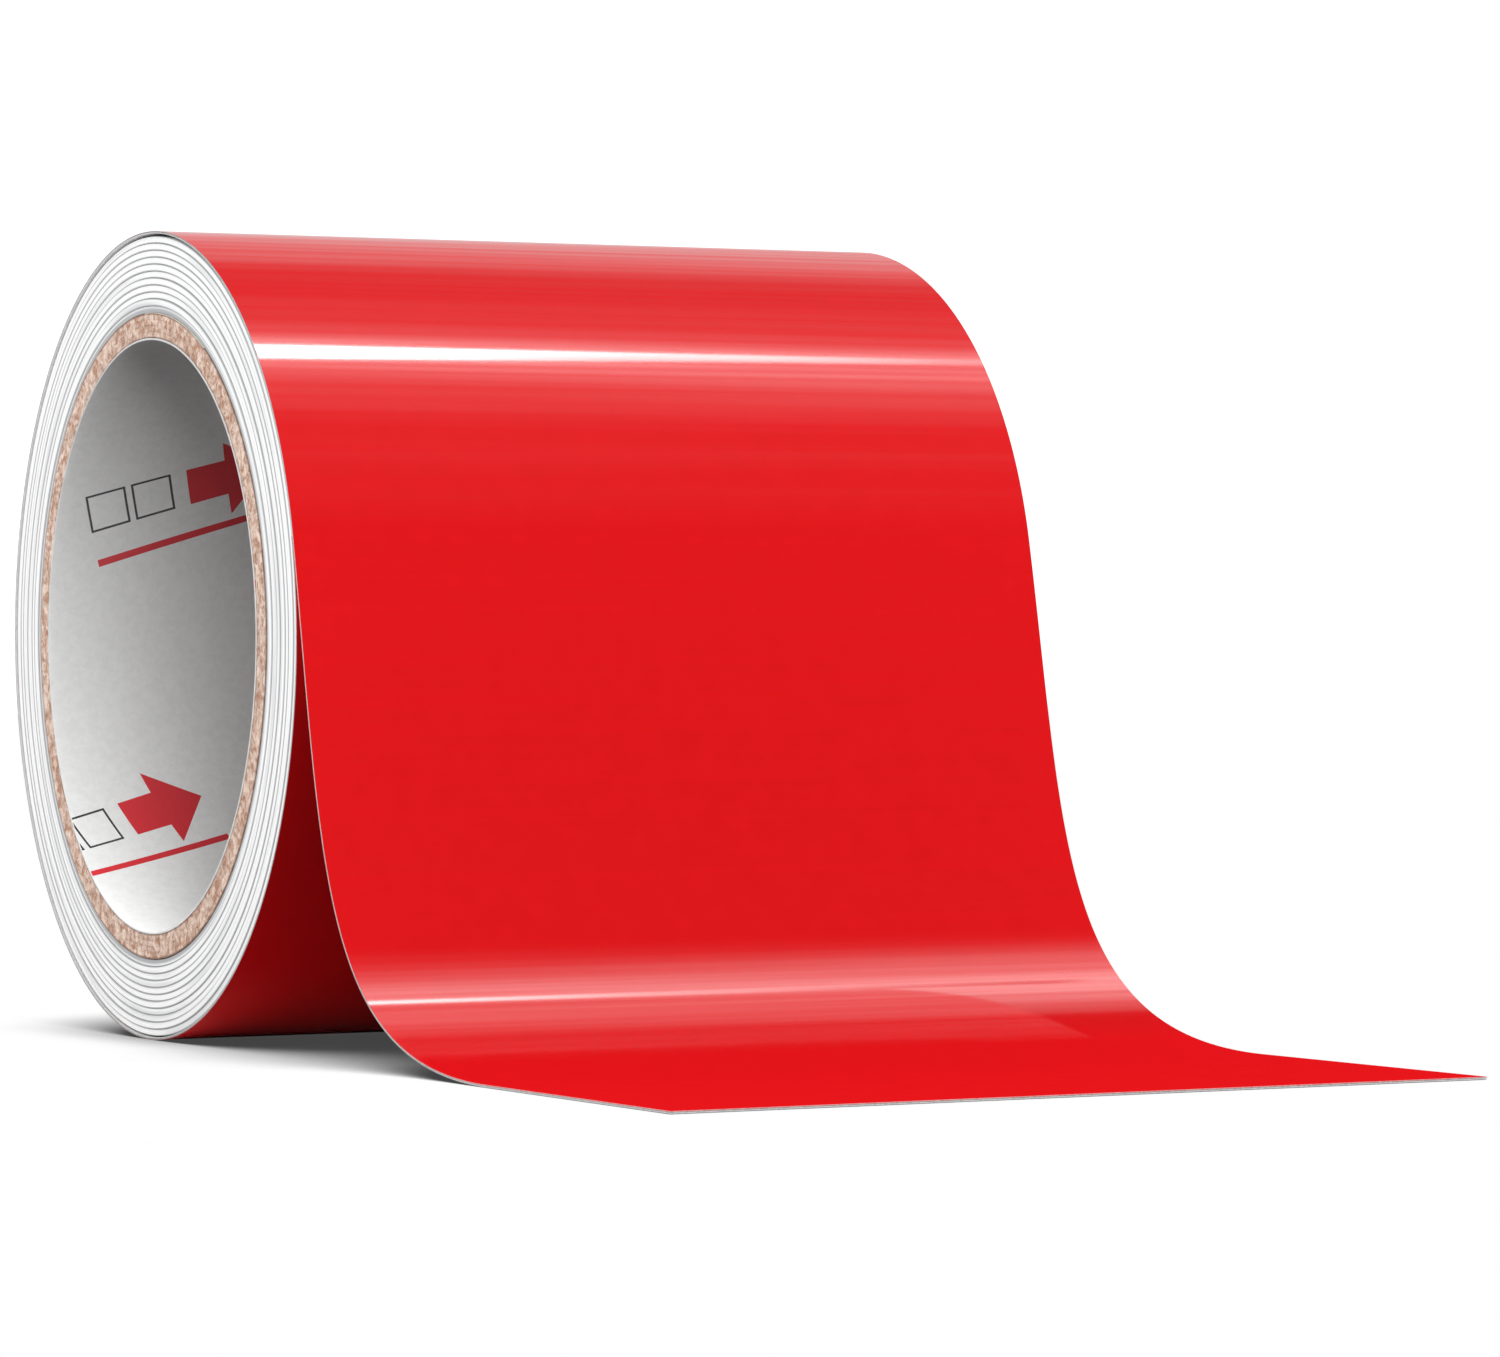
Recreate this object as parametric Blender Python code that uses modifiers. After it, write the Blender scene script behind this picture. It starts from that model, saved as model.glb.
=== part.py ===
"""Roll of sign vinyl, lying on its side with its leader run out over the bench.

Metres. +X runs along the core, -Y towards the cut end of the leader and +Z up. The origin
is on the bench, under the middle of the whole object.

The web is red face film laid on a white release liner. It is wound on a board core. Its
outermost turn leaves the roll at the front, curves down to the bench and lies flat there.
"""

import math

import bmesh
import bpy

# Core: a board tube with a paper lining.
BORE_DIAMETER = 0.0762
LINING_THICKNESS = 0.00025
PLY_COUNT = 4
PLY_THICKNESS = 0.00074
GLUE_LINE = 0.00005

# Web: face film, adhesive line and release liner, from the outside of the roll inwards.
WEB_WIDTH = 0.1016
FILM_THICKNESS = 0.0001
ADHESIVE_LINE = 0.00004
LINER_THICKNESS = 0.00016

# Winding: bands of tightly wound web, and the tape that starts it on the core.
BAND_COUNT = 11
BAND_THICKNESS = 0.00085
BAND_GAP = 0.00004
TAPE_THICKNESS = 0.00008
TAPE_CLEARANCE = 0.00002
TAPE_FIRST_STEP = 15
TAPE_STEPS = 5

# Outermost turn: how it clears the band that turns inside it, and itself.
RUNNING_GAP = 0.0001
TURN_GAP = 0.00005

# Free web: it leaves the roll at this angle above the core's height.
DEPARTURE_ANGLE = math.radians(13)
DEPARTURE_REACH = 0.039
FOOT_REACH = 0.05
FOOT_FROM_ROLL = 0.056
LEADER_LENGTH = 0.048
PEEL_COUNT = 6
PEEL_LENGTH = 0.006
BUTT_GAP = 0.0001

# Facets: the tubes, the outermost turn and the free span.
TUBE_STEPS = 60
FRONT_TURN_STEPS = 43
TAIL_TURN_STEPS = 17
SPAN_STEPS = 24

TUBE_STEP_ANGLE = 2 * math.pi / TUBE_STEPS
WEB_THICKNESS = FILM_THICKNESS + ADHESIVE_LINE + LINER_THICKNESS
LINER_DEPTH = FILM_THICKNESS + ADHESIVE_LINE
CORE_LENGTH = WEB_WIDTH
BORE_RADIUS = BORE_DIAMETER / 2
CORE_RADIUS = BORE_RADIUS + LINING_THICKNESS + PLY_COUNT * (GLUE_LINE + PLY_THICKNESS)
TAPE_RADIUS = CORE_RADIUS + TAPE_CLEARANCE
FIRST_BAND_RADIUS = TAPE_RADIUS + TAPE_THICKNESS + TAPE_CLEARANCE
BAND_PITCH = BAND_THICKNESS + BAND_GAP
WINDING_RADIUS = FIRST_BAND_RADIUS + BAND_COUNT * BAND_PITCH - BAND_GAP
TURN_PITCH = WEB_THICKNESS + TURN_GAP
ROLL_RADIUS = WINDING_RADIUS + RUNNING_GAP + WEB_THICKNESS + TURN_PITCH

# Angles about the core run from +Y through +Z. The turn's lowest point is a vertex.
DEPARTURE = math.pi - DEPARTURE_ANGLE
LOWEST = -math.pi / 2
TAIL_END = DEPARTURE - 2 * math.pi + BUTT_GAP / ROLL_RADIUS


def turn_radius(angle):
    """Outer radius of the outermost turn, which shrinks by one pitch over the turn."""
    return ROLL_RADIUS - TURN_PITCH * (DEPARTURE - angle) / (2 * math.pi)


AXIS_HEIGHT = turn_radius(LOWEST)
FOOT_Y = -ROLL_RADIUS - FOOT_FROM_ROLL
CUT_Y = FOOT_Y - LEADER_LENGTH
AXIS_Y = -(turn_radius(0) + CUT_Y) / 2


def polar(radius, angle):
    return (radius * math.cos(angle), radius * math.sin(angle))


def spread(first, last, steps):
    return [first + (last - first) * step / steps for step in range(steps + 1)]


def remove_everything():
    for thing in list(bpy.data.objects):
        bpy.data.objects.remove(thing, do_unlink=True)


def finish(name, colour, roughness):
    """A Principled material with the piece's colour and roughness. None of them is metal."""
    material = bpy.data.materials.new(name)
    material.use_nodes = True
    shader = material.node_tree.nodes["Principled BSDF"]
    shader.inputs["Base Color"].default_value = (*colour, 1)
    shader.inputs["Roughness"].default_value = roughness
    shader.inputs["Metallic"].default_value = 0
    material.diffuse_color = (*colour, 1)
    return material


def add_empty(collection, name, location, parent=None):
    """A joint's axis. The location is counted from the parent's."""
    empty = bpy.data.objects.new(name, None)
    empty.location = location
    empty.parent = parent
    collection.objects.link(empty)
    return empty


def add_piece(collection, name, data, material, parent, location=(0, 0, 0), turn=(0, 0, 0)):
    piece = bpy.data.objects.new(name, data)
    piece.location = location
    piece.rotation_euler = turn
    piece.parent = parent
    data.materials.append(material)
    collection.objects.link(piece)
    return piece


def add_tube(collection, name, inner, outer, length, material, parent):
    """A tube along X, turned from its wall's rectangular section."""
    mesh = bpy.data.meshes.new(name)
    section = bmesh.new()
    half = length / 2
    corners = ((outer, half), (outer, -half), (inner, -half), (inner, half))
    vertices = [section.verts.new((radius, 0, height)) for radius, height in corners]
    for first, second in zip(vertices, vertices[1:] + vertices[:1]):
        section.edges.new((first, second))
    section.to_mesh(mesh)
    section.free()
    tube = add_piece(collection, name, mesh, material, parent, turn=(0, math.pi / 2, 0))
    screw = tube.modifiers.new("turned", "SCREW")
    screw.steps = TUBE_STEPS
    screw.render_steps = TUBE_STEPS
    screw.use_merge_vertices = True
    screw.merge_threshold = 1e-6
    screw.use_smooth_shade = False
    return tube


def add_sheet(collection, name, outer_side, inner_side, width, material, parent):
    """A sheet seen edge on: its two sides in the (y, z) plane, extruded along X."""
    outline = bpy.data.curves.new(name, "CURVE")
    outline.dimensions = "2D"
    outline.fill_mode = "BOTH"
    outline.extrude = width / 2
    spline = outline.splines.new("POLY")
    points = list(outer_side) + list(reversed(inner_side))
    spline.points.add(len(points) - 1)
    for point, (across, up) in zip(spline.points, points):
        point.co = (across, up, 0, 1)
    spline.use_cyclic_u = True
    upright = (math.pi / 2, 0, math.pi / 2)
    return add_piece(collection, name, outline, material, parent, turn=upright)


def add_strip(collection, name, length, bottom, top, material, parent, gap=0):
    """A flat strip that runs from its parent's origin towards -Y, between two heights."""
    mesh = bpy.data.meshes.new(name)
    block = bmesh.new()
    bmesh.ops.create_cube(block, size=1)
    bmesh.ops.scale(block, verts=block.verts, vec=(WEB_WIDTH, length - gap, top - bottom))
    middle = (0, -(length + gap) / 2, (bottom + top) / 2)
    bmesh.ops.translate(block, verts=block.verts, vec=middle)
    block.to_mesh(mesh)
    block.free()
    return add_piece(collection, name, mesh, material, parent)


def build_core(collection, axis, lining_paper, board):
    inner = BORE_RADIUS
    outer = BORE_RADIUS + LINING_THICKNESS
    add_tube(collection, "core_lining", inner, outer, CORE_LENGTH, lining_paper, axis)
    for ply in range(PLY_COUNT):
        inner = outer + GLUE_LINE
        outer = inner + PLY_THICKNESS
        name = f"core_ply_{ply + 1}"
        add_tube(collection, name, inner, outer, CORE_LENGTH, board, axis)


def build_winding(collection, axis, tape_film, wound_edge):
    angles = [(TAPE_FIRST_STEP + step) * TUBE_STEP_ANGLE for step in range(TAPE_STEPS + 1)]
    over = [polar(TAPE_RADIUS + TAPE_THICKNESS, angle) for angle in angles]
    under = [polar(TAPE_RADIUS, angle) for angle in angles]
    add_sheet(collection, "starter_tape", over, under, WEB_WIDTH, tape_film, axis)
    for band in range(BAND_COUNT):
        inner = FIRST_BAND_RADIUS + band * BAND_PITCH
        name = f"wound_web_{band + 1:02d}"
        outer = inner + BAND_THICKNESS
        add_tube(collection, name, inner, outer, WEB_WIDTH, wound_edge, axis)


def turn_side(depth):
    """One side of the outermost turn, this deep in the web, from departure to tail."""
    angles = spread(DEPARTURE, LOWEST, FRONT_TURN_STEPS)
    angles += spread(LOWEST, TAIL_END, TAIL_TURN_STEPS)[1:]
    return [polar(turn_radius(angle) - depth, angle) for angle in angles]


def span_side(depth):
    """One side of the free span, this deep in the web: a cubic curve, roll to bench."""
    leave = polar(ROLL_RADIUS, DEPARTURE)
    down = (-math.sin(DEPARTURE_ANGLE), -math.cos(DEPARTURE_ANGLE))
    foot = (FOOT_Y, WEB_THICKNESS - AXIS_HEIGHT)
    first = (leave[0] + DEPARTURE_REACH * down[0], leave[1] + DEPARTURE_REACH * down[1])
    second = (foot[0] + FOOT_REACH, foot[1])
    side = []
    for t in spread(0, 1, SPAN_STEPS):
        weights = ((1 - t) ** 3, 3 * t * (1 - t) ** 2, 3 * t * t * (1 - t), t**3)
        slopes = (-((1 - t) ** 2), (1 - t) * (1 - 3 * t), t * (2 - 3 * t), t * t)
        corners = (leave, first, second, foot)
        y, z = (sum(w * corner[i] for w, corner in zip(weights, corners)) for i in (0, 1))
        run, rise = (sum(s * corner[i] for s, corner in zip(slopes, corners)) for i in (0, 1))
        slant = math.hypot(run, rise)
        side.append((y - depth * rise / slant, z + depth * run / slant))
    return side


def trimmed(side):
    """The side with its first point moved along it by the butt gap."""
    (y0, z0), (y1, z1) = side[:2]
    share = BUTT_GAP / math.hypot(y1 - y0, z1 - z0)
    return [(y0 + share * (y1 - y0), z0 + share * (z1 - z0))] + side[1:]


def build_free_web(collection, axis, film, liner):
    for name, material, top, bottom in (
        ("film", film, 0, FILM_THICKNESS),
        ("liner", liner, LINER_DEPTH, WEB_THICKNESS),
    ):
        turn = (turn_side(top), turn_side(bottom))
        add_sheet(collection, f"{name}_outer_turn", *turn, WEB_WIDTH, material, axis)
        span = (trimmed(span_side(top)), trimmed(span_side(bottom)))
        add_sheet(collection, f"{name}_free_span", *span, WEB_WIDTH, material, axis)


def build_leader(collection, film, liner):
    """The flat end. Its film peels off the liner in strips, each hinged on the last."""
    foot = add_empty(collection, "leader_slide", (0, AXIS_Y + FOOT_Y, 0))
    low = WEB_THICKNESS - FILM_THICKNESS
    args = (collection, "liner_leader", LEADER_LENGTH, 0, LINER_THICKNESS, liner, foot)
    add_strip(*args, gap=BUTT_GAP)
    held = LEADER_LENGTH - PEEL_COUNT * PEEL_LENGTH
    args = (collection, "film_leader", held, low, WEB_THICKNESS, film, foot)
    add_strip(*args, gap=BUTT_GAP)
    hinge = add_empty(collection, "peel_hinge_1", (0, -held, low + FILM_THICKNESS / 2), foot)
    for strip in range(1, PEEL_COUNT + 1):
        half = FILM_THICKNESS / 2
        args = (collection, f"film_peel_{strip}", PEEL_LENGTH, -half, half, film, hinge)
        add_strip(*args, gap=BUTT_GAP)
        if strip < PEEL_COUNT:
            step = (0, -PEEL_LENGTH, 0)
            hinge = add_empty(collection, f"peel_hinge_{strip + 1}", step, hinge)


remove_everything()
roll = bpy.data.collections.new("sign_vinyl_roll")
bpy.context.scene.collection.children.link(roll)

lining_paper = finish("lining_paper", (0.80, 0.80, 0.80), 0.55)
core_board = finish("core_board", (0.56, 0.34, 0.21), 0.9)
tape_film = finish("tape_film", (0.75, 0.72, 0.62), 0.4)
wound_edge = finish("wound_edge", (0.85, 0.85, 0.85), 0.6)
face_film = finish("face_film", (0.74, 0.009, 0.012), 0.12)
release_liner = finish("release_liner", (0.82, 0.82, 0.80), 0.35)

core_axis = add_empty(roll, "core_axis", (0, AXIS_Y, AXIS_HEIGHT))
build_core(roll, core_axis, lining_paper, core_board)
build_winding(roll, core_axis, tape_film, wound_edge)
build_free_web(roll, core_axis, face_film, release_liner)
build_leader(roll, face_film, release_liner)
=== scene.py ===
import math

import bpy
from mathutils import Matrix, Vector, noise


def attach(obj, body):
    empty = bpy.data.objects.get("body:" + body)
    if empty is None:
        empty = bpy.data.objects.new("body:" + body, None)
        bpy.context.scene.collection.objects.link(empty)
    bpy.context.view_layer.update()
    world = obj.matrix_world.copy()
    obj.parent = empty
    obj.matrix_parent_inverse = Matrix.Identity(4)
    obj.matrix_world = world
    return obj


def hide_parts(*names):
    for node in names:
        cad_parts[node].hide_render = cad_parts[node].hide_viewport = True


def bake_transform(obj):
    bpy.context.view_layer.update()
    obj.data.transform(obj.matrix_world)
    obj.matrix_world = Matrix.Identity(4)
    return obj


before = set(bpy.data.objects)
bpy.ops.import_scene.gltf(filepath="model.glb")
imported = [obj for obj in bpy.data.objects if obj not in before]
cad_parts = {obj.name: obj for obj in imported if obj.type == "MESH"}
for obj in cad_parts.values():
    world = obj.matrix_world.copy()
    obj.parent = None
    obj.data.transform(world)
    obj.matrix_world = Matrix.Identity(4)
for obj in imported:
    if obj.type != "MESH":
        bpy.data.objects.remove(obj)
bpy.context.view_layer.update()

scene = bpy.context.scene

# Camera. A long lens close to table height, off the open left end of the roll and
# turned towards it, so the end face, the paid-out face and the cut edge all show.
camera_data = bpy.data.cameras.new("studio_camera")
camera_data.lens = 139.74
camera_data.sensor_width = 36.0
camera_data.clip_start = 0.05
camera_data.clip_end = 60.0
CAMERA_PLACE = (-0.3121, -0.6549, 0.0440)
CAMERA_SWING = math.radians(-26.191)
CAMERA_TILT = math.radians(90.144)
CAMERA_ROLL = math.radians(-0.416)
camera = bpy.data.objects.new("studio_camera", camera_data)
camera.matrix_world = (
    Matrix.Translation(CAMERA_PLACE)
    @ Matrix.Rotation(CAMERA_SWING, 4, "Z")
    @ Matrix.Rotation(CAMERA_TILT, 4, "X")
    @ Matrix.Rotation(CAMERA_ROLL, 4, "Z")
)
scene.collection.objects.link(camera)
scene.camera = camera
scene.view_settings.view_transform = "Standard"


# Light tent. White cloth on every side lights the roll evenly and shows white behind
# it, while gloss surfaces mirror only a dim room and the soft boxes placed below.
def add_node(tree, kind, inputs=None, **settings):
    """A new node with its settings, and each named input set or linked."""
    made = tree.nodes.new(kind)
    for name, value in settings.items():
        setattr(made, name, value)
    for name, value in (inputs or {}).items():
        if isinstance(value, bpy.types.NodeSocket):
            tree.links.new(value, made.inputs[name])
        else:
            made.inputs[name].default_value = value
    return made


CLOTH_GLOW = 1.2
MIRRORED_GLOW = 0.02
tent = bpy.data.worlds.new("light_tent")
tent.use_nodes = True
tent.node_tree.nodes.clear()
tent_rays = add_node(tent.node_tree, "ShaderNodeLightPath")
tent_cloth = add_node(
    tent.node_tree, "ShaderNodeBackground", {"Color": (1.0, 1.0, 1.0, 1.0), "Strength": CLOTH_GLOW}
)
tent_mirrored = add_node(
    tent.node_tree,
    "ShaderNodeBackground",
    {"Color": (1.0, 1.0, 1.0, 1.0), "Strength": MIRRORED_GLOW},
)
tent_mix = add_node(
    tent.node_tree,
    "ShaderNodeMixShader",
    {
        0: tent_rays.outputs["Is Glossy Ray"],
        1: tent_cloth.outputs["Background"],
        2: tent_mirrored.outputs["Background"],
    },
)
add_node(tent.node_tree, "ShaderNodeOutputWorld", {"Surface": tent_mix.outputs["Shader"]})
tent.cycles.sampling_method = "NONE"
scene.world = tent

# Each soft box lights one of these groups, which the pieces join in their own sections.
lit_turn = bpy.data.collections.new("lit_last_turn")
lit_run = bpy.data.collections.new("lit_hanging_run")
lit_film = bpy.data.collections.new("lit_film")
lit_bore = bpy.data.collections.new("lit_bore")


def soft_box(name, place, size, glow, lit, turn=0.0, tilt=0.0, across="Y", steps=()):
    """A soft box that shows only as a highlight on the pieces that it lights.

    It faces down, tilt leans it back from the camera, and turn swings it about the
    vertical. glow is its full brightness, and steps are (distance, share) along an edge."""
    width, depth = size
    data = bpy.data.lights.new(name, "AREA")
    data.shape = "RECTANGLE"
    data.size = width
    data.size_y = depth
    data.energy = glow * math.pi * width * depth
    box = bpy.data.objects.new(name, data)
    box.matrix_world = (
        Matrix.Translation(place) @ Matrix.Rotation(turn, 4, "Z") @ Matrix.Rotation(tilt, 4, "X")
    )
    box.visible_camera = False
    box.visible_diffuse = False
    box.light_linking.receiver_collection = lit
    scene.collection.objects.link(box)
    if steps:
        data.use_nodes = True
        tree = data.node_tree
        spot = add_node(tree, "ShaderNodeTexCoord")
        edge = add_node(tree, "ShaderNodeSeparateXYZ", {0: spot.outputs["UV"]})
        ramp = add_node(tree, "ShaderNodeValToRGB", {"Fac": edge.outputs[across]})
        while len(ramp.color_ramp.elements) < len(steps):
            ramp.color_ramp.elements.new(0.5)
        for stop, (distance, share) in zip(ramp.color_ramp.elements, steps):
            stop.position = distance
            stop.color = (share, share, share, 1.0)
        lamp = tree.nodes["Emission"]
        tree.links.new(ramp.outputs["Color"], lamp.inputs["Color"])


# A long strip overhead draws the bright line along the crown of the roll, a cloth panel
# round it the softer glow before and behind that line, and a back panel the pale crown.
OVERHEAD = 0.65


def overhead_panel(name, middle, width, full, lit, profile):
    """A panel overhead whose glow varies from front to back as the (y, glow) profile says.

    full is the panel's brightest glow, and middle its middle along the roll."""
    front = profile[0][0]
    back = profile[-1][0]
    soft_box(
        name,
        place=(middle, (front + back) / 2, OVERHEAD),
        size=(width, back - front),
        glow=full,
        lit=lit,
        steps=[((y - front) / (back - front), glow / full) for y, glow in profile],
    )


STRIP_PIVOT = Vector((0.35, -0.003))
STRIP_REACH = 0.09  # from the pivot, where the strips cross, back to a strip's middle
for number, degrees in enumerate((0.2, 4.7, 9.2), 1):
    swing = math.radians(degrees)
    strip_middle = STRIP_PIVOT - STRIP_REACH * Vector((math.cos(swing), math.sin(swing)))
    soft_box(
        f"strip_overhead_{number}",
        place=(*strip_middle, OVERHEAD),
        size=(0.60, 0.023),
        glow=38.0,
        lit=lit_turn,
        turn=swing,
        across="X",
        steps=((0.0, 1.0), (0.36, 1.0), (0.50, 0.50), (0.65, 0.17), (1.0, 0.10)),
    )
soft_box(
    "panel_back",
    place=(0.5, 1.95, 0.33),
    size=(3.0, 0.66),
    glow=0.75,
    lit=lit_turn,
    tilt=math.radians(-90),
)
panel_glow = (
    (-1.00, 0.00),
    (-0.78, 0.10),
    (-0.62, 0.20),
    (-0.55, 0.14),
    (-0.42, 0.34),
    (-0.34, 0.20),
    (-0.27, 0.40),
    (-0.20, 1.00),
    (-0.14, 1.20),
    (-0.107, 2.00),
    (-0.068, 3.50),
    (0.03, 3.20),
    (0.055, 1.40),
    (0.091, 0.80),
    (0.128, 0.50),
    (0.20, 0.42),
    (0.27, 0.22),
    (0.44, 0.24),
    (0.56, 0.56),
    (0.66, 0.70),
    (1.90, 0.75),
)
overhead_panel(
    "panel_overhead", middle=0.50, width=2.0, full=3.5, lit=lit_turn, profile=panel_glow
)

# A thin strip farther back draws the fine line low on the hanging sheet, which fades
# towards the far side, and a second panel the soft band round it.
soft_box(
    "strip_behind",
    place=(0.23, 0.212, OVERHEAD),
    size=(0.40, 0.030),
    glow=18.0,
    lit=lit_run,
    turn=math.radians(2.6),
    across="X",
    steps=((0.0, 1.0), (0.50, 0.8), (0.68, 0.30), (0.85, 0.1), (1.0, 0.0)),
)
run_glow = (
    (-0.17, 0.00),
    (-0.126, 0.08),
    (-0.088, 0.30),
    (-0.05, 0.65),
    (-0.01, 1.20),
    (0.03, 1.80),
    (0.073, 2.10),
    (0.12, 1.80),
    (0.165, 3.00),
    (0.267, 2.50),
    (0.325, 1.40),
    (0.39, 1.20),
    (0.46, 0.50),
    (0.50, 0.15),
    (0.56, 0.00),
)
overhead_panel(
    "panel_behind", middle=0.60, width=3.0, full=3.0, lit=lit_run, profile=run_glow
)

# A tall panel beyond each end of the roll shows in the gloss from the sides, and a small
# card close in front of the sheet carries the soft band on below the fine line.
for side, side_name in ((-1, "left"), (1, "right")):
    soft_box(
        f"panel_side_{side_name}",
        place=(2.5 * side, 0.0, 0.6),
        size=(2.4, 1.2),
        glow=0.5,
        lit=lit_film,
        turn=math.radians(-90 * side),
        tilt=math.radians(-90),
    )
soft_box(
    "card_low",
    place=(0.040, -0.018, 0.0325),
    size=(0.22, 0.035),
    glow=2.1,
    lit=lit_run,
    tilt=math.radians(-90),
    steps=((0.0, 0.0), (0.12, 0.04), (0.3, 0.16), (0.5, 0.4), (0.7, 0.75), (0.9, 0.8), (1.0, 0.2)),
)

# Table. A plain pale sheet that the roll and its leader lie on. To the camera it is a white glow
# with a painted shadow that deepens where they close it in, and it lights them from below as white
# board does.
TABLE_SIZE = 30.0
TABLE_DROP = 0.00005  # clear of the liner's underside, so the two faces never share a plane
SHADE_REACH = 0.05
SHADE_POWER = 1.6
SHADE_LEAST = 0.055


def maths(tree, operation, first, second=0.0):
    """The output of one Math node."""
    made = add_node(tree, "ShaderNodeMath", {0: first, 1: second}, operation=operation)
    return made.outputs["Value"]


table_mesh = bpy.data.meshes.new("table")
table_mesh.from_pydata(
    [
        (x * TABLE_SIZE / 2, y * TABLE_SIZE / 2, -TABLE_DROP)
        for x, y in ((-1, -1), (1, -1), (1, 1), (-1, 1))
    ],
    [],
    [(0, 1, 2, 3)],
)
table = bpy.data.objects.new("table", table_mesh)
table_paint = bpy.data.materials.new("pale_table")
table_paint.use_nodes = True
table_tree = table_paint.node_tree
table_shader = table_tree.nodes["Principled BSDF"]
table_shader.inputs["Base Color"].default_value = (0.97, 0.97, 0.97, 1.0)
table_shader.inputs["Roughness"].default_value = 1.0
table_shader.inputs["Specular IOR Level"].default_value = 0.0
# Painted shadow: the camera sees a glow dimmed by the table's ambient occlusion, not the lit table.
table_open = add_node(table_tree, "ShaderNodeAmbientOcclusion", {"Distance": SHADE_REACH}, samples=24)
table_shade = add_node(
    table_tree,
    "ShaderNodeMapRange",
    {"Value": table_open.outputs["AO"], "From Min": 0.10, "From Max": 0.75},
)
table_painted_shadow = add_node(
    table_tree,
    "ShaderNodeEmission",
    {
        "Color": maths(
            table_tree,
            "MAXIMUM",
            maths(table_tree, "POWER", table_shade.outputs["Result"], SHADE_POWER),
            SHADE_LEAST,
        ),
        "Strength": 1.0,
    },
)
table_seen = add_node(table_tree, "ShaderNodeLightPath")
table_mix = add_node(
    table_tree,
    "ShaderNodeMixShader",
    {
        0: table_seen.outputs["Is Camera Ray"],
        1: table_shader.outputs["BSDF"],
        2: table_painted_shadow.outputs["Emission"],
    },
)
table_tree.links.new(
    table_mix.outputs["Shader"], table_tree.nodes["Material Output"].inputs["Surface"]
)
table_mesh.materials.append(table_paint)
scene.collection.objects.link(table)

# Core lining. A strip of white paper wound in a helix as the core's innermost wrap,
# pasted to the board, with a plain handling mark printed along it again and again.
WEB_WIDTH = 0.1016
AXIS_Y = 0.052081
AXIS_HEIGHT = 0.05188
BORE_RADIUS = 0.0381
LINING_THICKNESS = 0.00025
ROUND_STEPS = 240


def turned(name, section, steps=ROUND_STEPS, start=0.0, sweep=2 * math.pi, shift=None):
    """A mesh object: a closed section of (x, radius) points turned about the roll's axis.

    shift, where it is given, moves each point: (angle, x, radius) to (x, radius)."""
    closed = abs(sweep - 2 * math.pi) < 1e-9
    rings = steps if closed else steps + 1
    around = len(section)
    points = []
    for i in range(rings):
        angle = start + sweep * i / steps
        for x, radius in section:
            if shift:
                x, radius = shift(angle, x, radius)
            points.append(
                (x, AXIS_Y + radius * math.cos(angle), AXIS_HEIGHT + radius * math.sin(angle))
            )
    faces = []
    for i in range(steps):
        here = i * around
        there = (i + 1) % rings * around
        for j in range(around):
            k = (j + 1) % around
            faces.append((here + j, here + k, there + k, there + j))
    if not closed:
        faces.append(tuple(range(around))[::-1])
        faces.append(tuple(steps * around + j for j in range(around)))
    mesh = bpy.data.meshes.new(name)
    mesh.from_pydata(points, [], faces)
    mesh.validate()
    made = bpy.data.objects.new(name, mesh)
    scene.collection.objects.link(made)
    mesh.shade_smooth()
    mesh.set_sharp_from_angle(angle=math.radians(40))
    return made


def tube_section(inner, outer, half, corner, bends=3):
    """The (x, radius) outline of a tube wall, its corners rounded, anticlockwise."""
    centres = (
        (half - corner, outer - corner, 0.0),
        (-half + corner, outer - corner, 90.0),
        (-half + corner, inner + corner, 180.0),
        (half - corner, inner + corner, 270.0),
    )
    section = []
    for x, radius, first in centres:
        for i in range(bends + 1):
            angle = math.radians(first + 90.0 * i / bends)
            section.append((x + corner * math.cos(angle), radius + corner * math.sin(angle)))
    return section


def new_group(name, inputs, outputs):
    """A shader node group with its sockets, and the nodes that read and feed them."""
    group = bpy.data.node_groups.new(name, "ShaderNodeTree")
    kinds = {"value": "NodeSocketFloat", "colour": "NodeSocketColor", "vector": "NodeSocketVector"}
    for label, kind, default in inputs:
        socket = group.interface.new_socket(label, in_out="INPUT", socket_type=kinds[kind])
        socket.default_value = default
    for label, kind in outputs:
        group.interface.new_socket(label, in_out="OUTPUT", socket_type=kinds[kind])
    return group, group.nodes.new("NodeGroupInput"), group.nodes.new("NodeGroupOutput")


def blended(tree, share, first, second):
    """The colour that lies share of the way from first to second."""
    made = tree.nodes.new("ShaderNodeMix")
    made.data_type = "RGBA"
    for index, value in ((0, share), (6, first), (7, second)):
        if isinstance(value, bpy.types.NodeSocket):
            tree.links.new(value, made.inputs[index])
        else:
            made.inputs[index].default_value = value
    return made.outputs[2]


def placed(tree, group, **values):
    """The group as a node of this material, with its inputs set or linked."""
    made = tree.nodes.new("ShaderNodeGroup")
    made.node_tree = group
    for label, value in values.items():
        socket = made.inputs[label.replace("_", " ")]
        if isinstance(value, bpy.types.NodeSocket):
            tree.links.new(value, socket)
        else:
            socket.default_value = value
    return made


def finish_named(name, roughness):
    """A material, its node tree and its shader, with the roughness set."""
    made = bpy.data.materials.new(name)
    made.use_nodes = True
    shader = made.node_tree.nodes["Principled BSDF"]
    shader.inputs["Roughness"].default_value = roughness
    return made, made.node_tree, shader


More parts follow.
